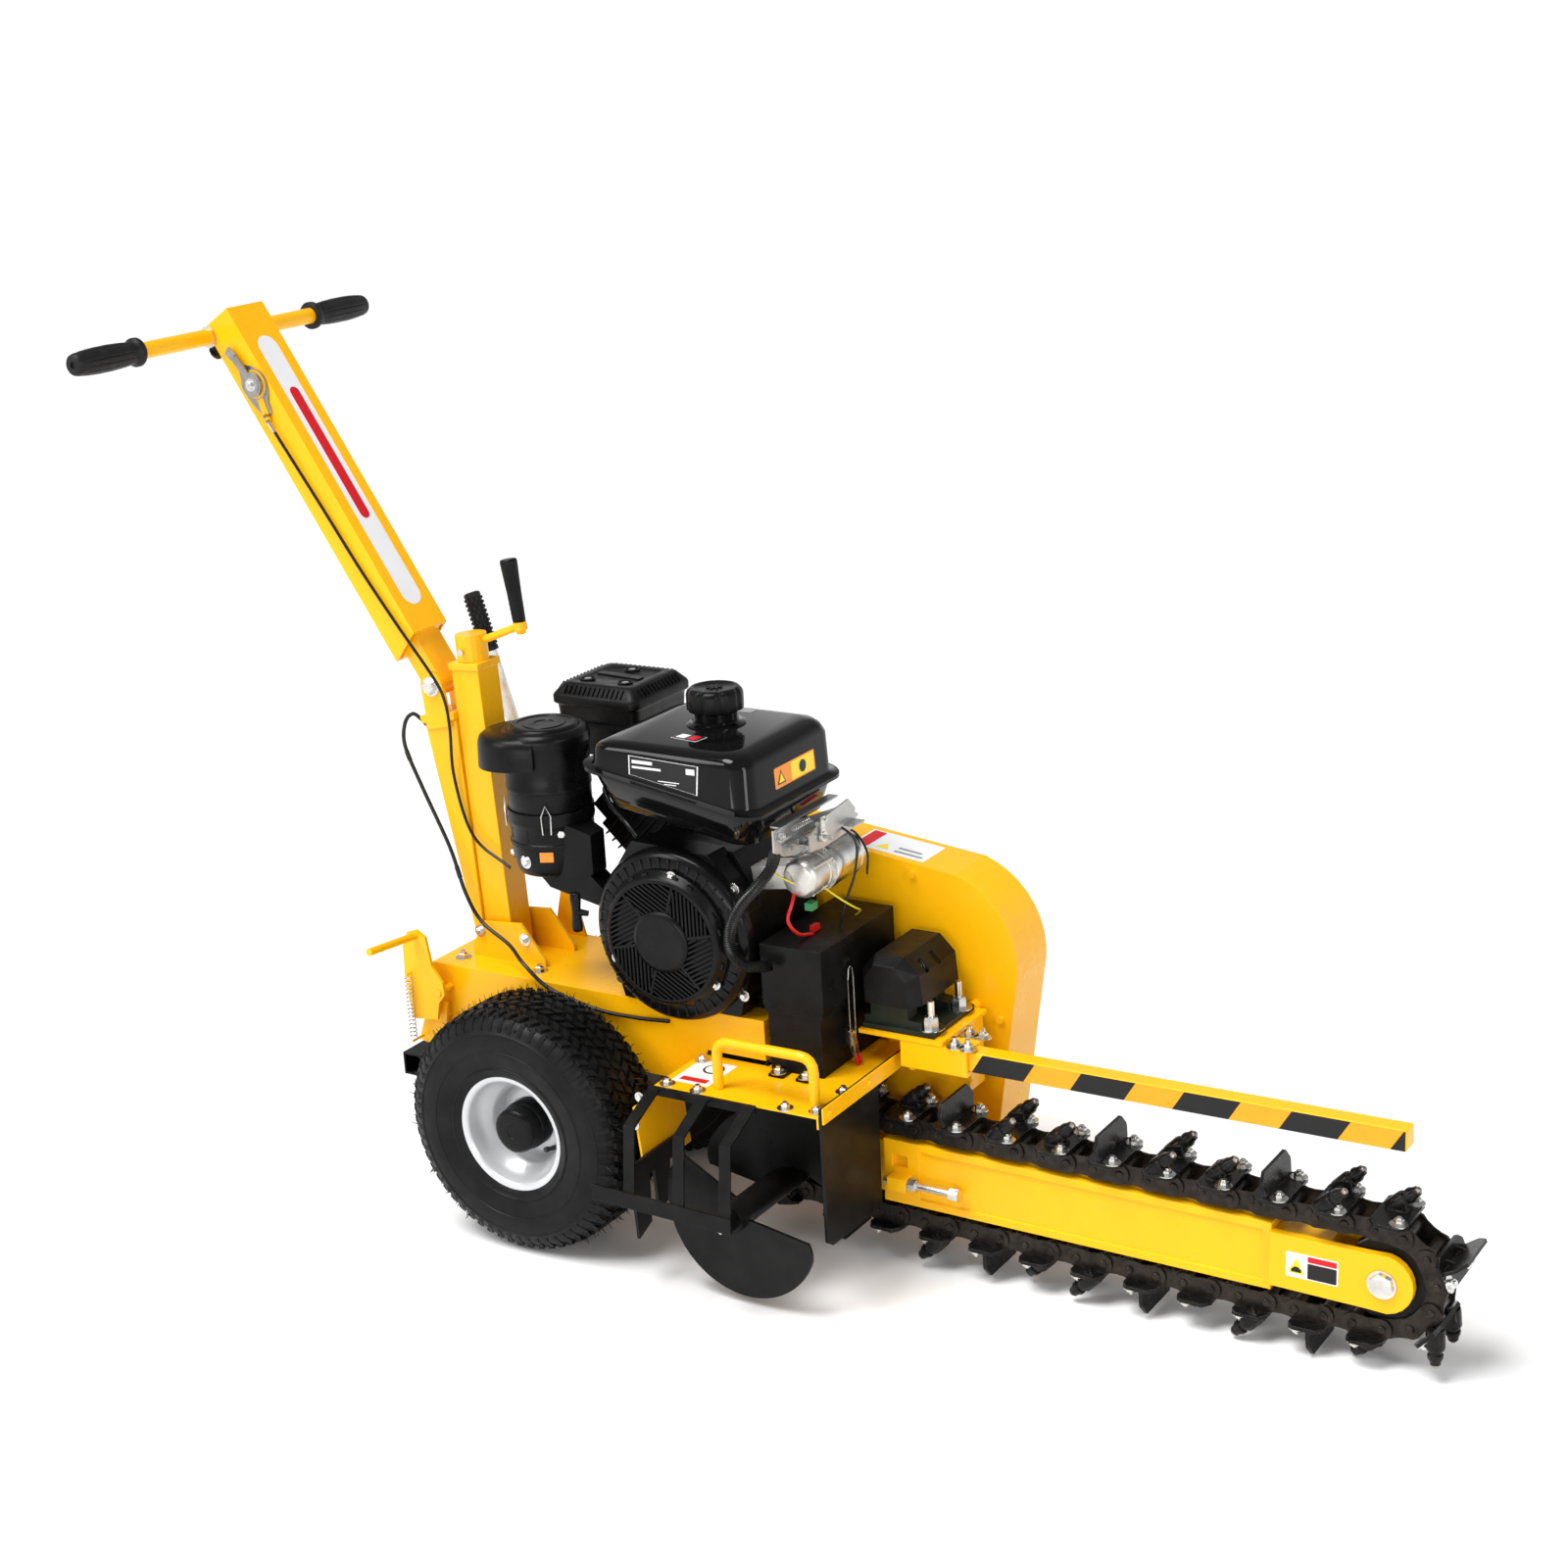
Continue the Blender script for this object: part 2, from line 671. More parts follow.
def belt_guard(paint):
    wall = 0.0030

    def shell(bm):
        prism(bm, guard_outline(0.0), "y", GUARD_NEAR, GUARD_FAR)

    def bolts(bm):
        for x, z in ((0.4780, 0.5350), (0.6140, 0.3300), (0.5800, 0.1600), (0.3150, 0.2300)):
            rod(bm, (x, GUARD_NEAR - 0.0050, z), (x, GUARD_NEAR + 0.0010, z), 0.0060, 6)

    def spacers(bm):
        for x, y, z in ((0.3200, DECK_FAR, 0.3350), (0.5750, FRONT_FAR, 0.3460)):
            rod(bm, (x, y + GAP, z), (x, GUARD_NEAR + 0.0010, z), 0.0090, 12)

    def room(bm):
        prism(bm, guard_outline(wall), "y", GUARD_NEAR + wall, GUARD_FAR - wall)

    def shaft_holes(bm):
        for x, z, r in ((JACKSHAFT[0], JACKSHAFT[1], 0.0180), (CRANK[0], CRANK[1], 0.0220), (HEAD[0], HEAD[1], 0.0220)):
            rod(bm, (x, GUARD_NEAR - 0.0100, z), (x, GUARD_NEAR + 0.0100, z), r, 24)

    node("belt_guard", paint, shell, add=(bolts, spacers), cut=(room, shaft_holes))


def bar_bracket(paint):
    def block(bm):
        box(bm, 0.5320, 0.6380, -0.0215, 0.0215, 0.3020, 0.3426)

    def flange(bm):
        box(bm, 0.6030, 0.6500, -0.0215, 0.0500, 0.3380, 0.3426)

    def bolts(bm):
        for x, y in ((0.5450, -0.0100), (0.5800, 0.0100)):
            rod(bm, (x, y, 0.2960), (x, y, 0.3040), 0.0065, 6)

    def bore(bm):
        box(bm, 0.5500, 0.7000, -0.0153, 0.0153, 0.3087, 0.3393)

    node("bar_bracket", paint, block, add=(bolts,), cut=(bore,))


def safety_bar(paint):
    def tube(bm):
        box(bm, 0.5560, 1.2680, -0.0150, 0.0150, 0.3090, 0.3390)

    node("safety_bar", paint, tube)


# ---------------------------------------------------------------- boom and chain

def boom_axes():
    way = (Vector(NOSE) - Vector(HEAD)).normalized()
    return way, Vector((-way.y, way.x))


def boom_point(distance, height):
    way, up = boom_axes()
    return tuple(Vector(HEAD) + way * distance + up * height)


def boom(paint):
    high = 0.0490

    def beam(bm):
        prism(bm, [boom_point(0.112, -high), boom_point(0.700, -high), boom_point(0.700, high),
                   boom_point(0.112, high)], "y", -BOOM_HALF, BOOM_HALF)

    def mount(bm):
        prism(bm, [boom_point(0.085, -0.040), boom_point(0.175, -0.040), boom_point(0.175, 0.040),
                   boom_point(0.085, 0.040)], "y", -0.0200, 0.0617)

    def lug(bm):
        prism(bm, [boom_point(0.128, -0.020), boom_point(0.158, -0.020), boom_point(0.158, 0.000),
                   boom_point(0.128, 0.000)], "y", -0.0520, -0.0200)

    def channels(bm):
        outline = [boom_point(0.170, -high + 0.012), boom_point(0.688, -high + 0.012),
                   boom_point(0.688, high - 0.012), boom_point(0.170, high - 0.012)]
        prism(bm, outline, "y", -BOOM_HALF - 0.01, -BOOM_HALF + 0.0035)
        prism(bm, outline, "y", BOOM_HALF - 0.0035, BOOM_HALF + 0.01)

    def bolt_hole(bm):
        a, b = boom_point(0.100, -0.010), boom_point(0.200, -0.010)
        rod(bm, (a[0], -0.0412, a[1]), (b[0], -0.0412, b[1]), 0.0056, 16)

    def window(bm):
        prism(bm, [boom_point(0.126, 0.008), boom_point(0.150, 0.008), boom_point(0.150, 0.026),
                   boom_point(0.126, 0.026)], "y", -0.0500, -0.0220)

    node("boom", paint, beam, add=(mount, lug), cut=(channels, bolt_hole, window))


def tension_bolt(paint):
    a, b, c = boom_point(0.118, -0.010), boom_point(0.240, -0.010), boom_point(0.224, -0.010)
    n0, n1 = boom_point(0.1584, -0.010), boom_point(0.172, -0.010)

    def shank(bm):
        rod(bm, (a[0], -0.0412, a[1]), (b[0], -0.0412, b[1]), 0.0053, 12)

    def head(bm):
        rod(bm, (c[0], -0.0412, c[1]), (b[0], -0.0412, b[1]), 0.0100, 6)
        rod(bm, (n0[0], -0.0412, n0[1]), (n1[0], -0.0412, n1[1]), 0.0100, 6)

    node("tension_bolt", paint, shank, add=(head,))


def boom_nose(paint):
    """Forked end that slides out of the boom and carries the roller."""
    length = (Vector(NOSE) - Vector(HEAD)).length
    way, _ = boom_axes()
    tilt = math.degrees(math.atan2(way.y, way.x))

    def cheeks(bm):
        outline = [boom_point(0.6995, -0.038), boom_point(length - 0.020, -0.040)]
        outline += arc(NOSE, 0.042, tilt - 80, tilt + 80, 10)
        outline += [boom_point(length - 0.020, 0.040), boom_point(0.6995, 0.040)]
        prism(bm, outline, "y", -0.0370, -0.0245)
        prism(bm, outline, "y", 0.0245, 0.0370)

    def neck(bm):
        prism(bm, [boom_point(0.7003, -0.036), boom_point(0.778, -0.036), boom_point(0.778, 0.036),
                   boom_point(0.7003, 0.036)], "y", -0.0300, 0.0300)

    def axle(bm):
        rod(bm, (NOSE[0], -0.0430, NOSE[1]), (NOSE[0], 0.0430, NOSE[1]), 0.0160, 6, turn=0.2)

    def axle_room(bm):
        for y0, y1 in ((-0.0232, 0.0232),):
            turned(bm, [(0.0100, y0), (0.0600, y0), (0.0600, y1), (0.0100, y1)], (NOSE[0], 0, NOSE[1]), (0, 1, 0), 16)

    def clear_of_boom(bm):
        prism(bm, [boom_point(0.60, -0.08), boom_point(0.7003, -0.08), boom_point(0.7003, 0.08),
                   boom_point(0.60, 0.08)], "y", -0.06, 0.06)

    node("boom_nose", paint, neck, add=(cheeks, axle), cut=(clear_of_boom, axle_room))


def nose_roller(paint):
    x, z = NOSE
    profile = [(bored(0.0100), -0.0225), (0.0585, -0.0225), (0.0585, -0.0130), (0.0545, -0.0110), (0.0545, 0.0110),
               (0.0585, 0.0130), (0.0585, 0.0225), (bored(0.0100), 0.0225)]

    def roller(bm):
        turned(bm, profile, (x, 0, z), (0, 1, 0), 16)

    node("nose_roller", paint, roller, pivot=(x, 0.0, z))


def loop_length():
    return 2 * (Vector(NOSE) - Vector(HEAD)).length + 2 * math.pi * CHAIN_R


def loop_point(s):
    """Point and outward direction on the pin line, s measured from above the drive shaft."""
    way, up = boom_axes()
    straight = (Vector(NOSE) - Vector(HEAD)).length
    half = math.pi * CHAIN_R
    s %= loop_length()
    if s < straight:
        return Vector(HEAD) + up * CHAIN_R + way * s, up
    if s < straight + half:
        a = (s - straight) / CHAIN_R
        out = up * math.cos(a) + way * math.sin(a)
        return Vector(NOSE) + out * CHAIN_R, out
    if s < 2 * straight + half:
        return Vector(NOSE) - up * CHAIN_R - way * (s - straight - half), -up
    a = (s - 2 * straight - half) / CHAIN_R
    out = -up * math.cos(a) - way * math.sin(a)
    return Vector(HEAD) + out * CHAIN_R, out


SHOVEL_AT = 0.460


def digging_chain(paint):
    pitch = loop_length() / PITCHES
    first = SHOVEL_AT - pitch / 2

    def side_row(inner, outer):
        def build(bm):
            levels = []
            for i in range(PITCHES):
                point, out = loop_point(first + i * pitch)
                low, high = point - out * LINK_H / 2, point + out * LINK_H / 2
                levels.append([(low.x, inner, low.y), (low.x, outer, low.y), (high.x, outer, high.y),
                               (high.x, inner, high.y)])
            loft(bm, levels, closed_along=True)
        return build

    def rollers(bm):
        for i in range(0, PITCHES, 2):
            point, _ = loop_point(first + i * pitch)
            rod(bm, (point.x, -CHAIN_HALF + 0.003, point.y), (point.x, CHAIN_HALF - 0.003, point.y), 0.0105, 5)

    def plates(bm):
        for i in range(PITCHES // 2):
            point, out = loop_point(SHOVEL_AT + 2 * i * pitch)
            way = Vector((out.y, -out.x))
            a, b = point - way * 0.018, point + way * 0.018
            low, high = out * (LINK_H / 2 - 0.004), out * (LINK_H / 2 + 0.004)
            outline = [tuple(a + low), tuple(b + low), tuple(b + high), tuple(a + high)]
            prism(bm, outline, "y", -0.0450, 0.0450)

    def shovels(bm):
        for i in range(0, PITCHES // 2, 3):
            point, out = loop_point(SHOVEL_AT + 2 * i * pitch)
            way = Vector((out.y, -out.x))
            foot = point - way * 0.008 + out * LINK_H / 2
            head = foot + out * (TOOTH_H - LINK_H / 2) - way * 0.006
            thick = Vector((way.x, 0, way.y)) * 0.0025
            wide = [(-0.0450, 0.0), (0.0450, 0.0), (0.0490, 0.55), (0.0390, 1.0), (-0.0390, 1.0), (-0.0490, 0.55)]
            ring = [Vector((foot.x, 0, foot.y)).lerp(Vector((head.x, 0, head.y)), t) + Vector((0, y, 0))
                    for y, t in wide]
            loft(bm, [[p - thick for p in ring], [p + thick for p in ring]])

    def tooth(bm, s, y, splay):
        point, out = loop_point(s)
        way = Vector((out.y, -out.x))
        foot = point + out * (LINK_H / 2 - 0.002) - way * 0.014
        tip = point + out * (TOOTH_H - 0.002) + way * 0.024
        rod(bm, (foot.x, y, foot.y), (tip.x, y + splay, tip.y), 0.0090, 6, end_radius=0.0035)

    def teeth(bm):
        for i in range(1, PITCHES // 2, 3):
            for side in (-1, 1):
                tooth(bm, SHOVEL_AT + 2 * i * pitch, side * 0.0320, side * 0.0050)
        for k, i in enumerate(range(2, PITCHES // 2, 3)):
            tooth(bm, SHOVEL_AT + 2 * i * pitch, (-0.012, 0.012)[k % 2], 0.0)

    node("digging_chain", paint, side_row(-CHAIN_HALF, -CHAIN_HALF + 0.0060),
         add=(side_row(CHAIN_HALF - 0.0060, CHAIN_HALF), rollers, plates, shovels, teeth))


def auger_shaft(paint):
    """Drive shaft with the chain sprocket, and two half flights set half a turn apart outside it."""
    x, z = HEAD

    def shaft(bm):
        rod(bm, (x, -0.2900, z), (x, 0.1900, z), 0.0150, 16)

    def sleeve(bm):
        rod(bm, (x, -0.2700, z), (x, -0.0620, z), 0.0210, 20)

    def sprocket(bm):
        rod(bm, (x, -0.0120, z), (x, 0.0120, z), 0.0560, 12)
        rod(bm, (x, -0.0300, z), (x, 0.0300, z), 0.0280, 20)

    def flight(start, y0, y1, reach):
        def build(bm):
            steps, lift = 16, Vector((0, 0.0028, 0))
            levels = []
            for i in range(steps + 1):
                t = i / steps
                a = math.radians(start + 200 * t)
                middle, u = Vector((x, y0 + (y1 - y0) * t, z)), Vector((math.cos(a), 0, math.sin(a)))
                low, high = middle + u * 0.0090, middle + u * reach
                levels.append([low - lift, high - lift, high + lift, low + lift])
            loft(bm, levels)
        return build

    flights = (flight(-30, -0.0800, -0.1550, AUGER_R), flight(150, -0.2215, -0.2500, BLADE_R))
    node("auger_shaft", paint, shaft, add=(sleeve, sprocket, *flights),
         pivot=(x, 0.0, z))


# ---------------------------------------------------------------- engine

def engine_block(paint):
    cx, cz = CRANK
    base = DECK_TOP + GAP

    def flange(bm):
        box(bm, 0.095, 0.335, -0.0480, 0.1000, base, base + 0.014)

    def case(bm):
        outline = [(0.125, base + 0.010), (0.315, base + 0.010), (0.330, 0.440), (0.330, 0.540), (0.290, 0.600),
                   (0.150, 0.610), (0.110, 0.540), (0.110, 0.440)]
        prism(bm, outline, "y", -0.0500, 0.1050)

    def cylinder(bm):
        bar(bm, (0.180, 0.055, 0.530), (0.066, 0.055, 0.640), 0.095, 0.130)

    def head(bm):
        bar(bm, (0.090, 0.057, 0.616), (0.044, 0.057, 0.660), 0.099, 0.105)

    def output(bm):
        rod(bm, (cx, 0.100, cz), (cx, 0.1220, cz), 0.0500, 24)

    node("engine_block", paint, flange, add=(case, cylinder, head, output))


def fan_housing(paint):
    cx, cz = CRANK

    def drum(bm):
        turned(bm, [(0.0, -0.1180), (0.110, -0.1180), (0.124, -0.1140), (0.130, -0.1060), (0.130, -0.0920), (0.0, -0.0920)],
               (cx, 0, cz), (0, 1, 0), 28)

    def back(bm):
        outline = [(cx - 0.100, DECK_TOP + 0.003), (cx + 0.100, DECK_TOP + 0.003), (cx + 0.124, cz - 0.03),
                   (cx + 0.120, cz + 0.045), (cx + 0.06, cz + 0.125), (cx - 0.07, cz + 0.130), (cx - 0.124, cz + 0.05),
                   (cx - 0.124, cz - 0.03)]
        prism(bm, outline, "y", -0.0950, -0.0503)

    node("fan_housing", paint, drum, add=(back,))


def recoil_cover(paint):
    cx, cz = CRANK
    y0, y1 = -0.1183, -0.1380

    def dome(bm):
        turned(bm, [(0.0, y0), (0.103, y0), (0.103, y0 - 0.006), (0.094, y1 + 0.003), (0.086, y1), (0.040, y1 - 0.002),
                    (0.036, y1 - 0.005), (0.0, y1 - 0.005)], (cx, 0, cz), (0, 1, 0), 28)

    def slots(bm):
        for quarter in range(6):
            turn = math.radians(60 * quarter + 12)
            u = Vector((math.cos(turn), 0, math.sin(turn)))
            v = Vector((-math.sin(turn), 0, math.cos(turn)))
            a = Vector((cx, y1, cz)) + u * 0.066 - v * 0.016
            bar(bm, a, a + v * 0.032, 0.010, 0.008)

    def bolts(bm):
        for turn in (80, 205, 325):
            a = math.radians(turn)
            p = (cx + 0.0965 * math.cos(a), 0, cz + 0.0965 * math.sin(a))
            rod(bm, (p[0], y0 - 0.004, p[2]), (p[0], y0 - 0.0135, p[2]), 0.0055, 6)

    node("recoil_cover", paint, dome, add=(bolts,), cut=(slots,))


def recoil_handle(paint):
    x, y, z = 0.0640, -0.1300, 0.5050

    def grip(bm):
        bar(bm, (x, y, z - 0.030), (x, y, z + 0.030), 0.018, 0.014)

    def stem(bm):
        rod(bm, (x, y, z), (x + 0.018, y + 0.006, z - 0.002), 0.0050, 10)

    node("recoil_handle", paint, grip, add=(stem,), pivot=(x, y, z))


def seam_z(x):
    return 0.737 - 0.17 * (x - 0.10)


def octagon(x0, x1, y0, y1, cut):
    return [(x0, y0 + cut), (x0 + cut, y0), (x1 - cut, y0), (x1, y0 + cut), (x1, y1 - cut), (x1 - cut, y1),
            (x0 + cut, y1), (x0, y1 - cut)]


def fuel_tank(paint):
    def shell(bm):
        top = octagon(0.142, 0.352, -0.126, 0.088, 0.012)
        upper = octagon(0.118, 0.372, -0.144, 0.098, 0.022)
        seam = octagon(0.106, 0.384, -0.148, 0.102, 0.030)
        low = octagon(0.126, 0.368, -0.130, 0.090, 0.030)
        loft(bm, [
            [(x, y, seam_z(x) - 0.052) for x, y in low],
            [(x, y, seam_z(x) - 0.003) for x, y in seam],
            [(x, y, seam_z(x) + 0.004) for x, y in seam],
            [(x, y, 0.752 - 0.05 * (x - 0.1)) for x, y in upper],
            [(x, y, 0.773) for x, y in top],
        ])

    def flange(bm):
        edge = octagon(0.098, 0.392, -0.156, 0.110, 0.034)
        loft(bm, [[(x, y, seam_z(x) - 0.0025) for x, y in edge], [(x, y, seam_z(x) + 0.0025) for x, y in edge]])

    def neck(bm):
        rod(bm, (0.242, 0.0, 0.760), (0.242, 0.0, 0.7800), 0.0330, 24)

    def feet(bm):
        for x in (0.170, 0.270):
            box(bm, x - 0.010, x + 0.010, 0.0100, 0.0600, 0.6405 if x < 0.2 else 0.6026, 0.690)

    node("fuel_tank", paint, shell, add=(flange, neck))


def fuel_cap(paint):
    x, y, base = 0.242, 0.0, 0.7803

    def cap(bm):
        turned(bm, [(0.0, base), (0.0300, base), (0.0310, base + 0.012), (0.0400, base + 0.016), (0.0410, base + 0.040),
                    (0.0340, base + 0.048), (0.0, base + 0.048)], (x, y, 0), (0, 0, 1), 24)

    def flutes(bm):
        for i in range(8):
            a = 2 * math.pi * (i + 0.5) / 8
            c = (x + 0.0450 * math.cos(a), y + 0.0450 * math.sin(a))
            rod(bm, (c[0], c[1], base - 0.02), (c[0], c[1], base + 0.07), 0.0075, 6)

    node("fuel_cap", paint, cap, cut=(flutes,), pivot=(x, y, base))


def muffler(paint):
    def guard(bm):
        loft(bm, [[(x, y, 0.6800) for x, y in octagon(-0.078, 0.058, 0.0580, 0.1920, 0.012)],
                  [(x, y, 0.7560) for x, y in octagon(-0.083, 0.063, 0.0530, 0.1970, 0.012)],
                  [(x, y, 0.7600) for x, y in octagon(-0.088, 0.068, 0.0480, 0.2020, 0.012)],
                  [(x, y, 0.7720) for x, y in octagon(-0.088, 0.068, 0.0480, 0.2020, 0.012)],
                  [(x, y, 0.7900) for x, y in octagon(-0.070, 0.050, 0.0660, 0.1840, 0.012)]])

    def pipe(bm):
        rod(bm, (0.0300, 0.1220, 0.6260), (0.0300, 0.1220, 0.6900), 0.0130, 14)
        rod(bm, (0.0300, 0.1068, 0.6390), (0.0300, 0.1200, 0.6390), 0.0120, 14)

    node("muffler", paint, guard, add=(pipe,))


def air_cleaner(paint):
    x, y = -0.0200, -0.0600

    def canister(bm):
        turned(bm, [(0.0, 0.6403), (0.0620, 0.6403), (0.0640, 0.7380), (0.0660, 0.7400), (0.0660, 0.7500), (0.0600, 0.7600),
                    (0.0520, 0.7600), (0.0480, 0.7640), (0.0, 0.7640)], (x, y, 0), (0, 0, 1), 24)

    def snorkel(bm):
        a = [(-0.070, 0.7020), (-0.070, 0.7380), (-0.110, 0.7160), (-0.122, 0.6980), (-0.110, 0.6960)]
        prism(bm, a, "y", -0.1000, -0.0500)

    node("air_cleaner", paint, canister, add=(snorkel,))


def air_cleaner_base(paint):
    x, y = -0.0200, -0.0600

    def bowl(bm):
        turned(bm, [(0.0, 0.5400), (0.0520, 0.5400), (0.0600, 0.5700), (0.0640, 0.6350), (0.0640, 0.6400), (0.0, 0.6400)],
               (x, y, 0), (0, 0, 1), 24)

    def elbow(bm):
        loft(bm, [[(0.000, -0.1000, 0.5300), (0.000, -0.0480, 0.5300), (0.000, -0.0480, 0.6300), (0.000, -0.1000, 0.6300)],
                  [(0.070, -0.0900, 0.5500), (0.070, -0.0560, 0.5500), (0.070, -0.0560, 0.6100), (0.070, -0.0900, 0.6100)]])

    def foot(bm):
        prism(bm, [(-0.050, 0.560), (0.050, 0.560), (0.0905, 0.525), (0.0905, 0.500), (-0.010, 0.520)], "y", -0.0900, -0.0520)

    node("air_cleaner_base", paint, bowl, add=(elbow, foot))


def starter_motor(paint):
    x, z = 0.4050, 0.5780

    def can(bm):
        turned(bm, [(0.0, -0.0100), (0.0330, -0.0100), (0.0330, 0.0720), (0.0280, 0.0770), (0.0, 0.0770)],
               (x, 0, z), (0, 1, 0), 28)

    def gearbox(bm):
        turned(bm, [(0.0, -0.0650), (0.0240, -0.0650), (0.0290, -0.0560), (0.0290, -0.0080), (0.0, -0.0080)],
               (x, 0, z), (0, 1, 0), 20)
        bar(bm, (x - 0.081, -0.0350, z - 0.010), (x - 0.010, -0.0350, z), 0.040, 0.034)

    node("starter_motor", paint, can, add=(gearbox,))


def control_bracket(paint):
    def plate(bm):
        prism(bm, [(-0.060, 0.6200), (-0.020, 0.6160), (0.060, 0.6200), (0.068, 0.6480), (0.050, 0.6660),
                   (-0.010, 0.6600), (-0.060, 0.6440)], "x", 0.4220, 0.4250)

    def tabs(bm):
        box(bm, 0.3800, 0.4235, -0.0500, -0.0200, 0.6230, 0.6260)
        box(bm, 0.4230, 0.4420, 0.0350, 0.0640, 0.6300, 0.6330)
        rod(bm, (0.4200, -0.0300, 0.6350), (0.4440, -0.0300, 0.6350), 0.0030, 8)
        rod(bm, (0.3840, -0.0350, 0.6240), (0.3840, -0.0350, 0.6025), 0.0040, 8)

    node("control_bracket", paint, plate, add=(tabs,))


def throttle_arm(paint):
    y, z = -0.0300, 0.6350

    def hub(bm):
        rod(bm, (0.4262, y, z), (0.4318, y, z), 0.0080, 16)

    def end(bm):
        rod(bm, (0.4270, y, z + 0.025), (0.4360, y, z + 0.025), 0.0025, 8)

    def plate(bm):
        bar(bm, (0.4290, y, z - 0.008), (0.4290, y, z + 0.030), 0.010, 0.0025)

    def hole(bm):
        rod(bm, (0.4100, y, z), (0.4500, y, z), bored(0.0030), 24)

    node("throttle_arm", paint, hub, add=(plate, end), cut=(hole,), pivot=(0.4290, y, z))


# ---------------------------------------------------------------- handle column

def column_frame():
    """Unit vectors down the column and out of its front face, and the middle of its lower end."""
    down = (Vector((-0.2740, 0.8320)) - Vector(COLUMN_TOP)).normalized()
    front = Vector((-down.y, down.x))
    return down, front


def column_point(distance, out):
    """(x, z) this far down from the top of the column and this far out of its middle plane."""
    down, front = column_frame()
    return Vector(COLUMN_TOP) + down * distance + front * out


COLUMN_LENGTH = 0.586
THROTTLE = 0.118


def handle_column(paint):
    """Box column with its hinge tongue, and the lever bracket on its near face."""
    half = COLUMN_D / 2
    edge = -COLUMN_W / 2
    middle = column_point(THROTTLE, 0.004)

    def tube(bm):
        prism(bm, [tuple(column_point(0, -half)), tuple(column_point(COLUMN_LENGTH, -half)),
                   tuple(column_point(COLUMN_LENGTH - 0.020, half)), tuple(column_point(0, half))],
              "y", -COLUMN_W / 2, COLUMN_W / 2)

    def tongue(bm):
        down, _ = column_frame()
        tilt = math.degrees(math.atan2(down.y, down.x))
        outline = [tuple(column_point(COLUMN_LENGTH - 0.050, -0.018))]
        outline += arc(HINGE, 0.018, tilt - 90, tilt + 90, 10)
        outline += [tuple(column_point(COLUMN_LENGTH - 0.050, 0.018))]
        prism(bm, outline, "y", -0.0270, 0.0270)

    def pockets(bm):
        inner = half - 0.004
        for side in (-1, 1):
            prism(bm, [tuple(column_point(COLUMN_LENGTH - 0.060, -inner)), tuple(column_point(COLUMN_LENGTH + 0.010, -inner)),
                       tuple(column_point(COLUMN_LENGTH + 0.010, inner)), tuple(column_point(COLUMN_LENGTH - 0.060, inner))],
                  "y", side * 0.0278, side * 0.0360)

    def bar_hole(bm):
        rod(bm, (BAR_X, -0.06, BAR_Z), (BAR_X, 0.06, BAR_Z), (BAR_R + GAP) / math.cos(math.pi / 20), 20)

    def pin_hole(bm):
        rod(bm, (HINGE[0], -0.05, HINGE[1]), (HINGE[0], 0.05, HINGE[1]), bored(0.0080), 16)

    def bracket(bm):
        rod(bm, (middle.x, edge + 0.001, middle.y), (middle.x, edge - 0.0040, middle.y), 0.0220, 24)
        rod(bm, (middle.x, edge - 0.002, middle.y), (middle.x, edge - 0.0150, middle.y), 0.0040, 16)

    def cable_stop(bm):
        p, q, r = column_point(THROTTLE + 0.014, 0.002), column_point(THROTTLE + 0.048, -0.006), column_point(THROTTLE + 0.060, -0.006)
        bar(bm, (p.x, edge - 0.0018, p.y), (q.x, edge - 0.0018, q.y), 0.0040, 0.012)
        rod(bm, (q.x, edge - 0.0055, q.y), (r.x, edge - 0.0055, r.y), 0.0050, 8)

    node("handle_column", paint, tube, add=(tongue, bracket, cable_stop), cut=(pockets, bar_hole, pin_hole),
         pivot=(HINGE[0], 0.0, HINGE[1]))


def handlebar(paint):
    def tube(bm):
        rod(bm, (BAR_X, -BAR_HALF + 0.006, BAR_Z), (BAR_X, BAR_HALF - 0.006, BAR_Z), BAR_R, 20)

    node("handlebar", paint, tube)


def grip(paint, name, side):
    """Barrel-shaped rubber grip with an inner flange, closed over the bar's end."""
    hole = (BAR_R + GAP) / math.cos(math.pi / 14)
    length = 0.130
    inner = BAR_HALF - length

    def body(bm):
        profile = [(hole, inner), (0.0215, inner), (0.0215, inner + 0.008), (0.0165, inner + 0.014), (0.0195, inner + 0.055),
                   (0.0195, inner + 0.085), (0.0165, BAR_HALF - 0.008), (0.0120, BAR_HALF), (0.0, BAR_HALF),
                   (0.0, BAR_HALF - 0.0055), (hole, BAR_HALF - 0.0055)]
        turned_open(bm, profile, (BAR_X, 0, BAR_Z), (0, side, 0), 14)

    node(name, paint, body)


def turned_open(bm, profile, centre, direction, sides):
    """Like turned, for an outline that touches the axis at two neighbouring points."""
    split = next(i for i, p in enumerate(profile) if p[0] < 1e-6)
    turned(bm, profile[split + 1:] + profile[:split + 1], centre, direction, sides)


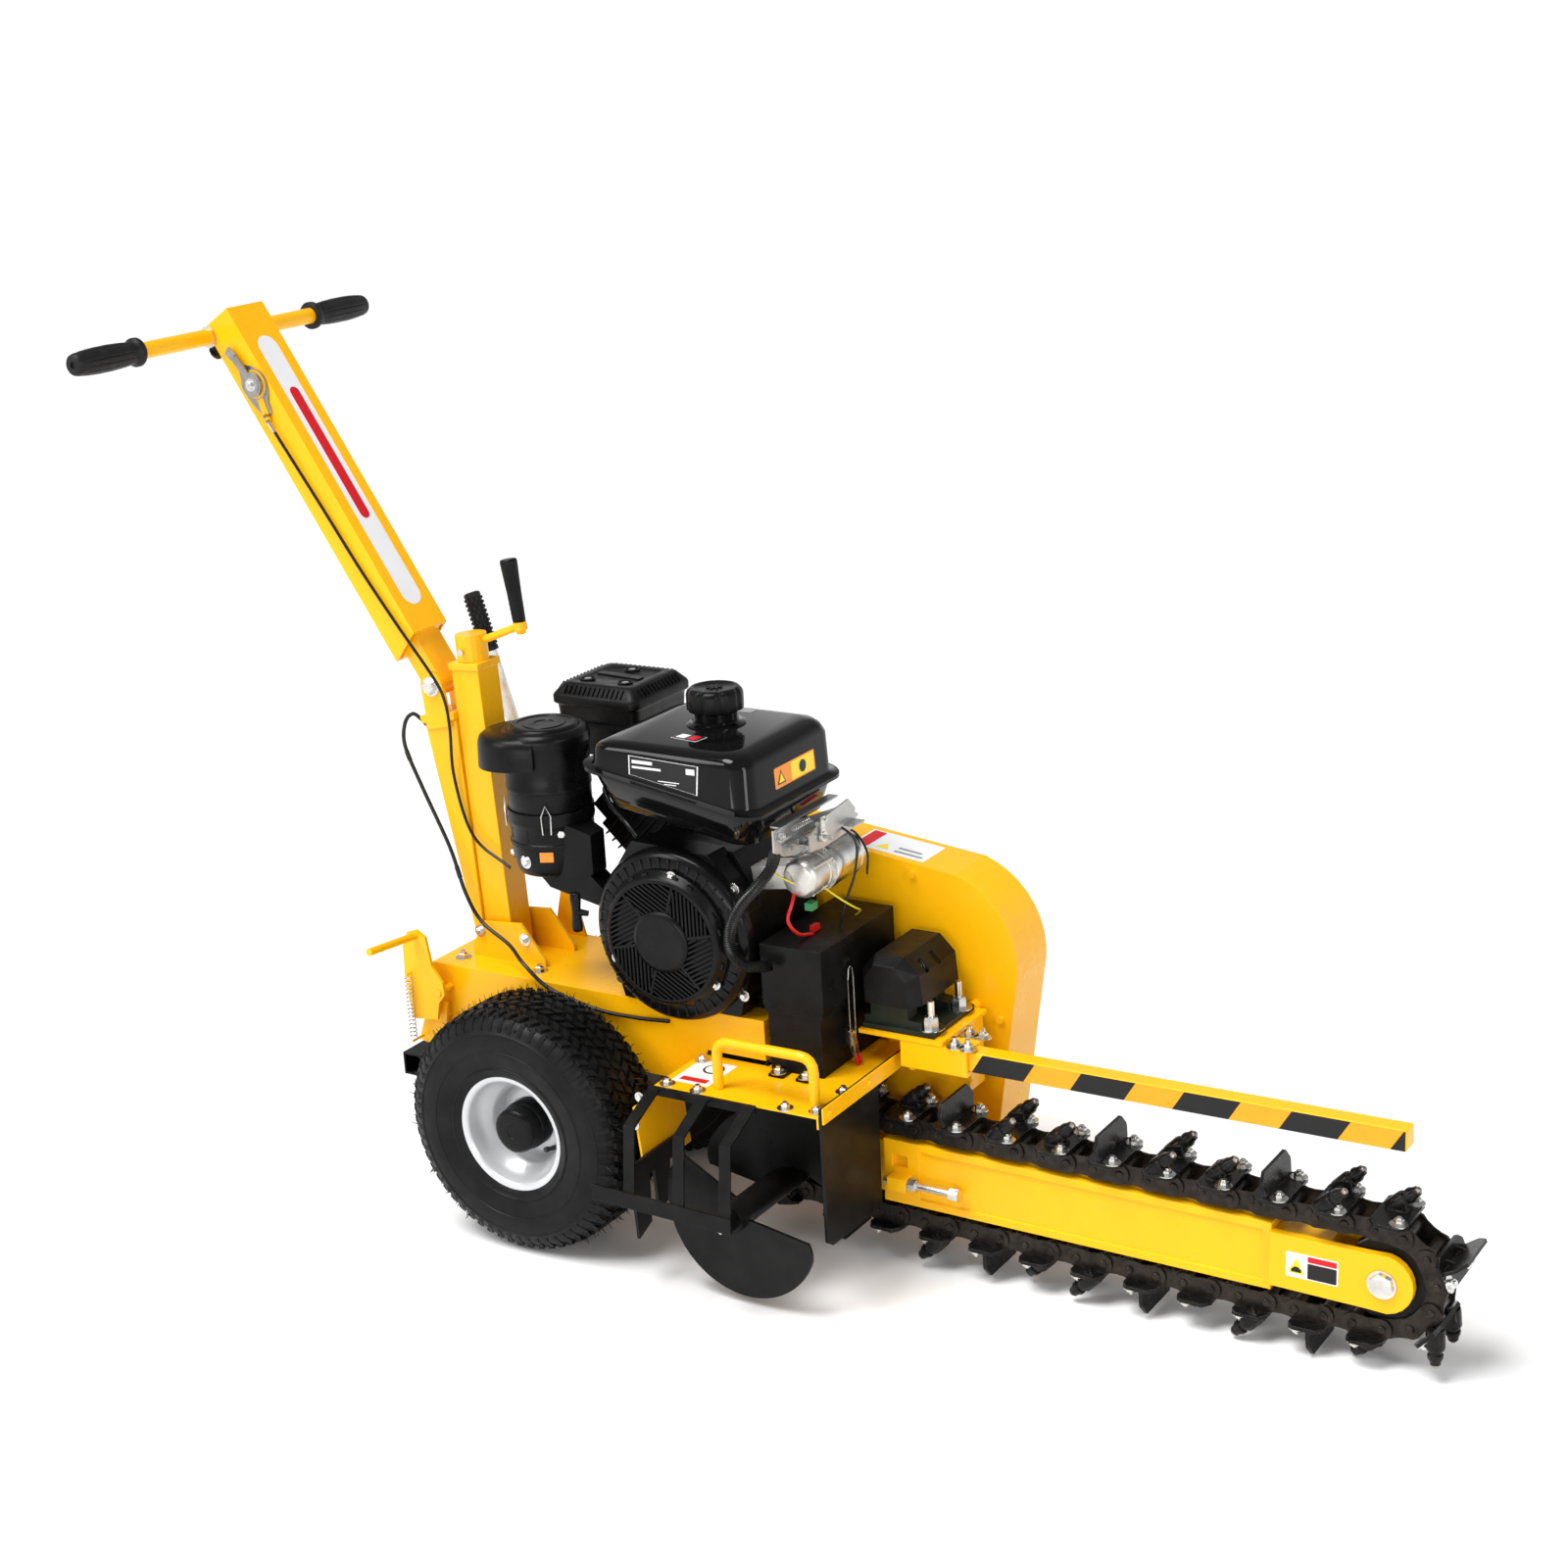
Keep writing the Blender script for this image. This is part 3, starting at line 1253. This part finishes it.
def bar_clamp(paint):
    """Saddle that holds the handlebar against the back of the column."""
    near, far = -COLUMN_D / 2 - GAP, -COLUMN_D / 2 - 0.0200

    def block(bm):
        prism(bm, [tuple(column_point(0.000, near)), tuple(column_point(0.036, near)), tuple(column_point(0.030, far)),
                   tuple(column_point(0.004, far))], "y", -0.0280, 0.0280)

    def bar_room(bm):
        rod(bm, (BAR_X, -0.06, BAR_Z), (BAR_X, 0.06, BAR_Z), (BAR_R + GAP) / math.cos(math.pi / 20), 20)

    def bolts(bm):
        for y in (-0.0180, 0.0180):
            p, q = column_point(0.0325, -COLUMN_D / 2 - 0.010), column_point(0.0325, -COLUMN_D / 2 - 0.024)
            rod(bm, (p.x, y, p.y), (q.x, y, q.y), 0.0050, 6)

    node("bar_clamp", paint, block, add=(bolts,), cut=(bar_room,))


def throttle_lever(paint):
    c = column_point(THROTTLE, 0.004)
    y = -COLUMN_W / 2 - GAP - 0.0045
    down, front = column_frame()

    def disc(bm):
        rod(bm, (c.x, y, c.y), (c.x, y - 0.0060, c.y), 0.0190, 24)

    def handle(bm):
        p = c - down * 0.012
        q = c - down * 0.050 - front * 0.004
        r = c - down * 0.066 - front * 0.010
        bar(bm, (p.x, y - 0.003, p.y), (q.x, y - 0.003, q.y), 0.0035, 0.012)
        bar(bm, (q.x, y - 0.003, q.y), (r.x, y - 0.003, r.y), 0.0035, 0.014)

    def bore(bm):
        rod(bm, (c.x, y + 0.02, c.y), (c.x, y - 0.02, c.y), bored(0.0040), 16)

    node("throttle_lever", paint, disc, add=(handle,), cut=(bore,), pivot=(c.x, y, c.y))


# ---------------------------------------------------------------- levers, crank, latch

GRIP_LOW, GRIP_HIGH = (-0.09848, 0.0040, 0.8935), (-0.1098, 0.0040, 0.9875)


def jack_crank(paint):
    low, high = Vector(POST_LOW), Vector(POST_HIGH)
    way = (high - low).normalized()
    top = high + way * 0.0033

    def cap(bm):
        a, b = top, top + way * 0.040
        rod(bm, (a.x, 0, a.y), (b.x, 0, b.y), 0.0240, 20)

    def screw(bm):
        a, b = top - way * 0.050, top + way * 0.010
        rod(bm, (a.x, 0, a.y), (b.x, 0, b.y), 0.0100, 16)

    def arm(bm):
        a = top + way * 0.030
        swept(bm, [(a.x, 0, a.y), (a.x + 0.030, 0.004, a.y + 0.004), (-0.0980, 0.0040, 0.8870)], 0.0060, 10)

    grip_way = (Vector(GRIP_HIGH) - Vector(GRIP_LOW)).normalized()

    def eye(bm):
        rod(bm, Vector(GRIP_LOW) - grip_way * 0.0125, Vector(GRIP_LOW) - grip_way * GAP, 0.0105, 20)

    def spindle(bm):
        rod(bm, Vector(GRIP_LOW) - grip_way * 0.019, Vector(GRIP_HIGH) - grip_way * 0.0050, 0.0040, 16)

    def nut(bm):
        rod(bm, Vector(GRIP_LOW) - grip_way * 0.018, Vector(GRIP_LOW) - grip_way * 0.010, 0.0080, 6)

    node("jack_crank", paint, cap, add=(screw, arm, eye, spindle, nut), pivot=(top.x, 0.0, top.y))


def crank_grip(paint):
    a, b = Vector(GRIP_LOW), Vector(GRIP_HIGH)
    way = (b - a).normalized()
    length = (b - a).length

    def body(bm):
        hole = bored(0.0040)
        profile = [(hole, 0.0), (0.0095, 0.0), (0.0108, length * 0.45), (0.0135, length - 0.006), (0.0120, length), (0.0, length),
                   (0.0, length - 0.0030), (hole, length - 0.0030)]
        turned_open(bm, profile, a, way, 16)

    node("crank_grip", paint, body, pivot=tuple(a))


LEVER_FOOT = (-0.121, 0.424)
LEVER_Y = 0.1040


def lever_point(distance):
    way = (Vector((-0.263, 0.898)) - Vector(LEVER_FOOT)).normalized()
    return Vector(LEVER_FOOT) + way * distance


def drive_lever(paint):
    a, b = lever_point(-0.012), lever_point(0.405)

    def blade(bm):
        bar(bm, (a.x, LEVER_Y, a.y), (b.x, LEVER_Y, b.y), 0.0060, 0.0220)

    def tang(bm):
        c, d = lever_point(0.395), lever_point(0.485)
        bar(bm, (c.x, LEVER_Y, c.y), (d.x, LEVER_Y, d.y), 0.0060, 0.0120)

    def bore(bm):
        x, z = LEVER_FOOT
        rod(bm, (x, 0.08, z), (x, 0.13, z), bored(0.0070), 16)

    node("drive_lever", paint, blade, add=(tang,), cut=(bore,), pivot=(LEVER_FOOT[0], LEVER_Y, LEVER_FOOT[1]))


def drive_lever_grip(paint):
    a, b = lever_point(0.4055), lever_point(0.5000)
    way = Vector((b.x - a.x, 0, b.y - a.y)).normalized()

    def body(bm):
        rod(bm, (a.x, LEVER_Y, a.y), (b.x, LEVER_Y, b.y), 0.0150, 16)

    def slot(bm):
        c, d = lever_point(0.39), lever_point(0.4856)
        bar(bm, (c.x, LEVER_Y, c.y), (d.x, LEVER_Y, d.y), 0.0066, 0.0126)

    node("drive_lever_grip", paint, body, cut=(slot,))


def latch_lever(paint):
    y0, y1 = -0.1210, -0.1160
    pivot = (-0.2180, 0.3300)

    def plate(bm):
        prism(bm, [(-0.279, 0.400), (-0.268, 0.422), (-0.250, 0.428), (-0.234, 0.418), (-0.226, 0.372), (-0.208, 0.348),
                   (-0.206, 0.328), (-0.218, 0.314), (-0.224, 0.286), (-0.272, 0.280), (-0.281, 0.340)], "y", y0, y1)

    def handle(bm):
        swept(bm, [(-0.2520, -0.1160, 0.4180), (-0.2560, -0.1400, 0.4190), (-0.2620, -0.2180, 0.4240)], 0.0060, 10)

    def hole(bm):
        rod(bm, (pivot[0], -0.14, pivot[1]), (pivot[0], -0.10, pivot[1]), bored(0.0060), 16)

    def hook_pin(bm):
        rod(bm, (-0.2680, -0.1200, 0.3560), (-0.2680, -0.1330, 0.3560), 0.0022, 8)

    node("latch_lever", paint, plate, add=(handle, hook_pin), cut=(hole,), pivot=(pivot[0], -0.1185, pivot[1]))


def latch_spring(paint):
    def coil(bm):
        swept(bm, helix((-0.2680, -0.1290, 0.2510), 0.1010, 0.0055, 9, 6), 0.0011, 4)

    node("latch_spring", paint, coil)


# ---------------------------------------------------------------- wheels

def tyre(paint, name, side):
    w = TYRE_HALF
    outer = [(0.0855, -0.0585), (0.1050, -0.0690), (0.1450, -w), (0.1750, -0.0680), (0.1860, -0.0540), (TYRE_R, -0.0200)]
    outer += [(r, -a) for r, a in reversed(outer)]
    inner = [(0.0855, 0.0500), (0.1450, 0.0640), (0.1760, 0.0480)]
    inner += [(r, -a) for r, a in reversed(inner)]

    def body(bm):
        turned(bm, outer + inner, (0, side * TRACK_HALF, AXLE_Z), (0, 1, 0), 28)

    node(name, paint, body, pivot=(0, side * TRACK_HALF, AXLE_Z))


def rim(paint, name, side):
    """Pressed steel rim with a dished disc and a hub tube."""
    c = (0, side * TRACK_HALF, AXLE_Z)
    out = (0, side, 0)

    def pressing(bm):
        hole = bored(AXLE_R, 20)
        lip = [(0.0790, 0.0466), (0.0805, 0.0606), (0.0860, 0.0630), (RIM_R, 0.0630), (RIM_R, 0.0611), (0.0850, 0.0592),
               (0.0825, 0.0480)]
        outline = [(hole, 0.0240), (0.0230, 0.0240), (0.0230, 0.0062), (0.0450, 0.0062), (0.0585, -0.0030),
                   (0.0585, 0.0194)]
        outline += lip + [(0.0620, 0.0200), (0.0620, -0.0200)] + [(r, -a) for r, a in reversed(lip)]
        outline += [(0.0585, -0.0194), (0.0585, -0.0085), (0.0430, 0.0011), (0.0230, 0.0011), (0.0230, -0.0400),
                    (hole, -0.0400)]
        turned(bm, outline, c, out, 20)

    node(name, paint, pressing, pivot=c)


def hub_cap(paint, name, side):
    c = (0, side * TRACK_HALF, AXLE_Z)

    def cup(bm):
        profile = [(0.0237, 0.0064), (0.0310, 0.0064), (0.0310, 0.0360), (0.0240, 0.0400), (0.0220, 0.0480), (0.0, 0.0480),
                   (0.0, 0.0330), (0.0237, 0.0330)]
        turned_open(bm, profile, c, (0, side, 0), 20)

    node(name, paint, cup, pivot=c)


def wheel_carriage(paint):
    """Swinging sub-frame: axle, side rails, front pivot tube and rear cross tube."""
    px, pz = CARRIAGE_PIVOT

    def axle(bm):
        rod(bm, (0, -0.2060, AXLE_Z), (0, 0.2060, AXLE_Z), AXLE_R, 16)

    def sleeve(bm):
        rod(bm, (0, -0.1060, AXLE_Z), (0, 0.1060, AXLE_Z), 0.0180, 20)

    def rails(bm):
        for y in (-0.0450, 0.0450):
            bar(bm, (px, y, pz - 0.004), (0.0, y, AXLE_Z), 0.012, 0.034)
            bar(bm, (0.010, y, AXLE_Z), (-0.2840, y, 0.1960), 0.012, 0.034)

    def rear(bm):
        box(bm, -0.3100, -0.2740, -0.1100, 0.1100, 0.1770, 0.2130)

    def rear_bore(bm):
        box(bm, -0.3070, -0.2770, -0.1200, 0.1200, 0.1800, 0.2100)

    def pivot(bm):
        rod(bm, (px, -0.0510, pz), (px, 0.0510, pz), 0.0180, 24)
        rod(bm, (px, -0.0620, pz), (px, 0.0620, pz), 0.0100, 16)

    node("wheel_carriage", paint, axle, add=(sleeve, rails, rear, pivot), cut=(rear_bore,), pivot=(px, 0.0, pz))


# ---------------------------------------------------------------- cables

def smooth_route(points, steps=3):
    """Catmull-Rom curve through the points."""
    p = [Vector(q) for q in points]
    p = [p[0] * 2 - p[1]] + p + [p[-1] * 2 - p[-2]]
    out = []
    for a, b, c, d in zip(p, p[1:], p[2:], p[3:]):
        for i in range(steps):
            t = i / steps
            out.append(0.5 * (2 * b + (c - a) * t + (2 * a - 5 * b + 4 * c - d) * t * t
                              + (3 * b - a - 3 * c + d) * t ** 3))
    out.append(p[-2])
    return out


def cable(paint, name, points, radius, pivot=None):
    route = smooth_route(points)

    def tube(bm):
        swept(bm, route, radius, 6)

    node(name, paint, tube, pivot=pivot)


def cables(paint):
    q = [column_point(d, o) for d, o in ((0.182, -0.006), (0.240, -0.004), (0.340, 0.000), (0.440, 0.004), (0.540, 0.012))]
    y = -COLUMN_W / 2 - 0.0045
    cable(paint, "throttle_cable_upper", [(p.x, y - (0.0018 if i == 0 else 0), p.y) for i, p in enumerate(q)], 0.0024)
    cable(paint, "throttle_cable_lower",
          [(-0.2300, -0.0480, 0.8100), (-0.2120, -0.0480, 0.7750), (-0.2100, -0.0440, 0.7300), (-0.2150, -0.0380, 0.6500),
           (-0.1900, -0.0360, 0.5600), (-0.1200, -0.0420, 0.5200)], 0.0024)
    cable(paint, "engine_wiring",
          [(-0.2795, -0.0250, 0.7330), (-0.2880, -0.0340, 0.7430), (-0.2960, -0.0440, 0.7300), (-0.2950, -0.0500, 0.6950),
           (-0.2700, -0.0480, 0.6300), (-0.2300, -0.0460, 0.5400),
           (-0.2060, -0.0480, 0.4700), (-0.1750, -0.0540, 0.4300), (-0.1150, -0.0680, 0.4060), (-0.0700, -0.0930, 0.3900),
           (-0.0200, -0.0985, 0.3600), (0.0600, -0.0960, 0.3400), (0.1300, -0.0960, 0.3380), (0.1900, -0.0960, 0.3420)],
          0.0038)


def build_machine():
    yellow = lambda name: material(name, YELLOW, 0.35)
    black = lambda name: material(name, BLACK, 0.4)
    rubber = lambda name: material(name, RUBBER, 0.8)
    steel = lambda name: material(name, STEEL, 0.35, 1.0)

    deck_frame(yellow("deck_paint"))
    front_mount(yellow("front_mount_paint"))
    jack_post(yellow("post_paint"))
    mast(yellow("mast_paint"))
    auger_cover(yellow("cover_paint"))
    cover_handle(yellow("cover_handle_paint"))
    auger_grille(black("grille_paint"))
    rubber_flap(rubber("flap_rubber"))
    flap_strip(yellow("strip_paint"))
    side_flaps(rubber("side_flap_rubber"))
    battery_box(black("battery_box_paint"))
    battery_lid(black("battery_lid_paint"))
    latch_toggle(steel("toggle_zinc"))
    latch_bail(steel("bail_zinc"))
    bearing_blocks(material("bearing_paint", (0.03, 0.05, 0.03), 0.5))
    jackshaft(steel("jackshaft_steel"))
    bearing_cover(black("bearing_cover_paint"))
    belt_guard(yellow("guard_paint"))
    bar_bracket(yellow("bracket_paint"))
    safety_bar(yellow("safety_bar_paint"))
    boom(yellow("boom_paint"))
    tension_bolt(steel("tension_bolt_zinc"))
    boom_nose(yellow("nose_paint"))
    nose_roller(black("roller_steel"))
    digging_chain(material("chain_steel", (0.05, 0.045, 0.04), 0.45, 0.8))
    auger_shaft(black("auger_paint"))
    engine_block(black("engine_paint"))
    fan_housing(black("fan_housing_paint"))
    recoil_cover(black("recoil_plastic"))
    recoil_handle(black("recoil_grip_plastic"))
    fuel_tank(black("tank_paint"))
    fuel_cap(black("fuel_cap_plastic"))
    muffler(black("muffler_paint"))
    air_cleaner(black("air_cleaner_plastic"))
    air_cleaner_base(black("air_base_plastic"))
    starter_motor(material("starter_alloy", (0.65, 0.64, 0.60), 0.35, 0.9))
    control_bracket(steel("control_zinc"))
    throttle_arm(steel("throttle_arm_zinc"))
    handle_column(yellow("column_paint"))
    handlebar(yellow("handlebar_paint"))
    grip(rubber("near_grip_rubber"), "grip_near", -1)
    grip(rubber("far_grip_rubber"), "grip_far", 1)
    bar_clamp(black("clamp_paint"))
    throttle_lever(steel("throttle_lever_zinc"))
    jack_crank(yellow("crank_paint"))
    crank_grip(black("crank_grip_plastic"))
    drive_lever(steel("drive_lever_steel"))
    drive_lever_grip(rubber("drive_lever_rubber"))
    latch_lever(yellow("latch_lever_paint"))
    latch_spring(steel("spring_steel"))
    wheel_carriage(black("carriage_paint"))
    for side, tag in ((-1, "near"), (1, "far")):
        tyre(rubber(f"tyre_{tag}_rubber"), f"tyre_{tag}", side)
        rim(material(f"rim_{tag}_paint", (0.75, 0.75, 0.74), 0.35, 0.3), f"rim_{tag}", side)
        hub_cap(black(f"hub_cap_{tag}_plastic"), f"hub_cap_{tag}", side)
    cables(rubber("cable_jacket"))


build_machine()
